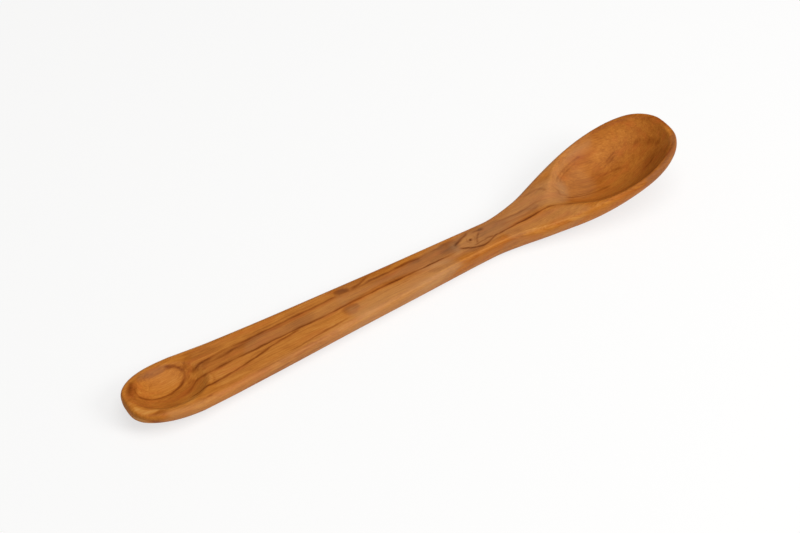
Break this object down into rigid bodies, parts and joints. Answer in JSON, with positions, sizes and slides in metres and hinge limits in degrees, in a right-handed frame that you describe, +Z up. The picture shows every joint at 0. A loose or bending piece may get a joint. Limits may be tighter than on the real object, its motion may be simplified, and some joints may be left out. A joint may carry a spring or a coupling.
{
  "type": "wooden spoon",
  "caption": "Long double-ended wooden spoon: an oval bowl with a rising rim on one end of a flat tapering handle and a small tasting scoop hollowed into the other.",
  "frame": {"origin": "under the middle of the spoon's length, on the surface that it lies on", "axes": "+X from the small scoop along the handle to the bowl's tip, +Z up, out of both hollows, +Y across"},
  "size_m": [0.3, 0.0452, 0.0278],
  "materials": {
    "olive_wood": "oiled, satin"
  },
  "bodies": {
    "root": {"spoon": "olive_wood"}
  },
  "joints": []
}
